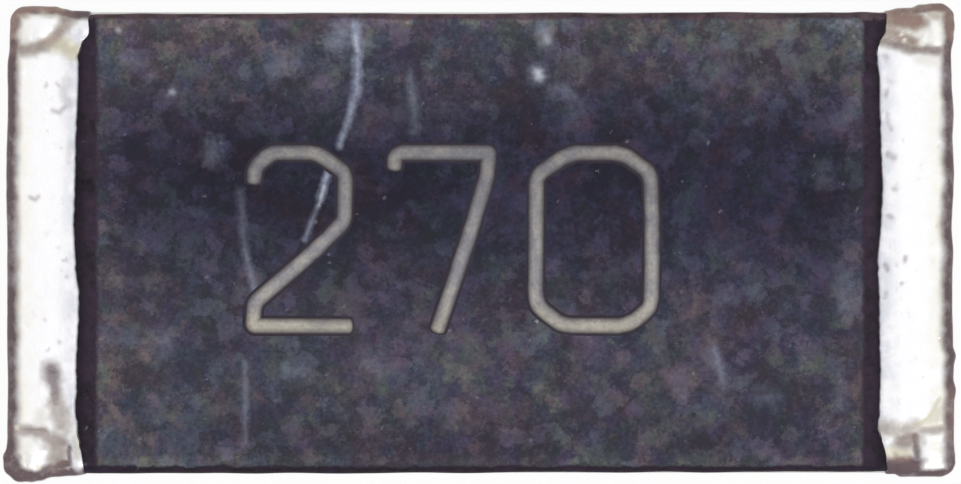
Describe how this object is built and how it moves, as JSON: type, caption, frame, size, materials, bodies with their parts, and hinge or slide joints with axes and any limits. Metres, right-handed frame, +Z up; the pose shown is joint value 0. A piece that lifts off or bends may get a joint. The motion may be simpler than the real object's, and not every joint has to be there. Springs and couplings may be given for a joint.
{
  "type": "chip resistor",
  "caption": "Flat rectangular surface-mount thick-film resistor with a dark resin-coated face, pale digits and bright wrapped tin ends.",
  "frame": {"origin": "centre of the footprint, on the plane where the solder pads rest", "axes": "+X along the length to the right-hand end as the digits are read, +Y across the width to the digits' top, +Z up through the marked face"},
  "size_m": [0.0064, 0.0032, 0.0006],
  "materials": {
    "alumina": "matte fired white",
    "silver_palladium_print": "matte fired silver-palladium",
    "silver_print": "matte fired silver",
    "resistive_print": "black ruthenium-oxide glass",
    "glass_print": "dark green printed glass",
    "overcoat_resin": "dark navy cured resin, satin",
    "marking_ink": "pale grey printed ink of the digits, matte",
    "end_film": "matte metal film",
    "nickel": "satin nickel",
    "tin": "matte tin"
  },
  "bodies": {
    "root": {"ceramic_substrate": "alumina", "resistive_film": "resistive_print", "glass_undercoat": "glass_print", "protective_overcoat": "overcoat_resin", "top_electrode_left": "silver_palladium_print", "bottom_electrode_left": "silver_print", "end_electrode_left": "end_film", "nickel_barrier_left": "nickel", "tin_plating_left": "tin", "top_electrode_right": "silver_palladium_print", "bottom_electrode_right": "silver_print", "end_electrode_right": "end_film", "nickel_barrier_right": "nickel", "tin_plating_right": "tin"}
  },
  "joints": []
}
